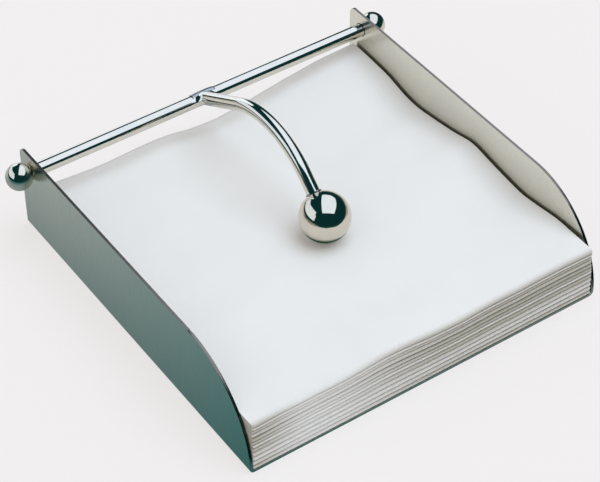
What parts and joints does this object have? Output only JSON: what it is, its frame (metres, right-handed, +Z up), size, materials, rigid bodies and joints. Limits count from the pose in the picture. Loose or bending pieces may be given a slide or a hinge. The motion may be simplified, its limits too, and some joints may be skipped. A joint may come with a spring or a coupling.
{
  "type": "napkin holder",
  "caption": "Flat steel napkin tray with two side walls, open at front and rear, and a swinging weighted arm on a pivot rod that holds the folded napkins down.",
  "frame": {"origin": "middle of the tray's footprint, on the surface that the tray stands on", "axes": "+X along the pivot rod to the right, +Y to the rear, where the rod is, +Z up"},
  "size_m": [0.1944, 0.173, 0.06],
  "materials": {
    "brushed_sheet": "satin, brushed across the sheet, so that the grain stands upright on the walls",
    "polished_bar": "mirror polished",
    "polished_ball": "mirror polished",
    "weld_metal": "polished weld",
    "napkin_paper": "soft matt tissue"
  },
  "bodies": {
    "tray": {"tray": "brushed_sheet"},
    "arm": {"pivot_rod": "polished_bar", "arm": "polished_bar", "arm_weld": "weld_metal", "weight_ball": "polished_ball", "ball_weld": "weld_metal", "left_end_ball": "polished_ball", "right_end_ball": "polished_ball"},
    "napkins": {"napkin_01": "napkin_paper", "napkin_02": "napkin_paper", "napkin_03": "napkin_paper", "napkin_04": "napkin_paper", "napkin_05": "napkin_paper", "napkin_06": "napkin_paper", "napkin_07": "napkin_paper", "napkin_08": "napkin_paper", "napkin_09": "napkin_paper", "napkin_10": "napkin_paper", "napkin_11": "napkin_paper", "napkin_12": "napkin_paper"}
  },
  "joints": [
    {"name": "arm_pivot", "type": "hinge", "parent": "tray", "child": "arm", "pos_m": [0, 0.0782, 0.03515], "axis": [-1, 0, 0], "range_deg": [0, 190]},
    {"name": "napkin_pull", "type": "slide", "parent": "tray", "child": "napkins", "axis": [0, -1, 0], "range_m": [0, 0.17]}
  ]
}
